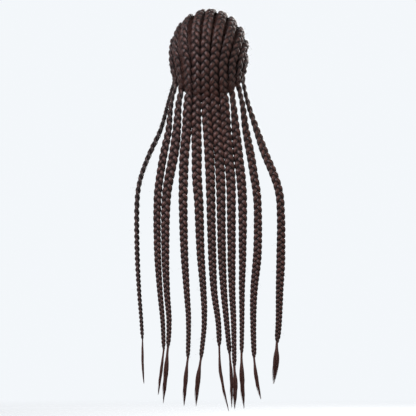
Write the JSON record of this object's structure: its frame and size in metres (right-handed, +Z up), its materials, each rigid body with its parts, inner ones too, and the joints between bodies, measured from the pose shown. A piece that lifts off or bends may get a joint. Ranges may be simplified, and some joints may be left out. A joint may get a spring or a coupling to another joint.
{
  "type": "braid wig",
  "caption": "Long braid wig: cornrows plaited over a thin cap from hairline to nape, running out into hanging three-strand plaits with loose tapered tails.",
  "frame": {"origin": "inside the crown of the cap, where the top of the wearer's head meets it", "axes": "+Z up along the worn wig, +Y towards the wearer's face, +X to the right seen from behind, so the plaits hang down -Z at the back, on the -Y side"},
  "size_m": [0.3234, 0.2033, 0.8657],
  "materials": {
    "braided_hair": "satin",
    "cap_net": "matte"
  },
  "bodies": {
    "root": {"wig_cap": "cap_net", "cornrow_1": "braided_hair", "cornrow_2": "braided_hair", "cornrow_3": "braided_hair", "cornrow_4": "braided_hair", "cornrow_5": "braided_hair", "cornrow_6": "braided_hair", "cornrow_7": "braided_hair", "cornrow_8": "braided_hair", "cornrow_9": "braided_hair", "cornrow_10": "braided_hair", "cornrow_11": "braided_hair", "braid_1": "braided_hair", "braid_2": "braided_hair", "braid_3": "braided_hair", "braid_4": "braided_hair", "braid_5": "braided_hair", "braid_6": "braided_hair", "braid_7": "braided_hair", "braid_8": "braided_hair", "braid_9": "braided_hair", "braid_10": "braided_hair", "braid_11": "braided_hair", "tail_1": "braided_hair", "tail_2": "braided_hair", "tail_3": "braided_hair", "tail_4": "braided_hair", "tail_5": "braided_hair", "tail_6": "braided_hair", "tail_7": "braided_hair", "tail_8": "braided_hair", "tail_9": "braided_hair", "tail_10": "braided_hair", "tail_11": "braided_hair"}
  },
  "joints": []
}
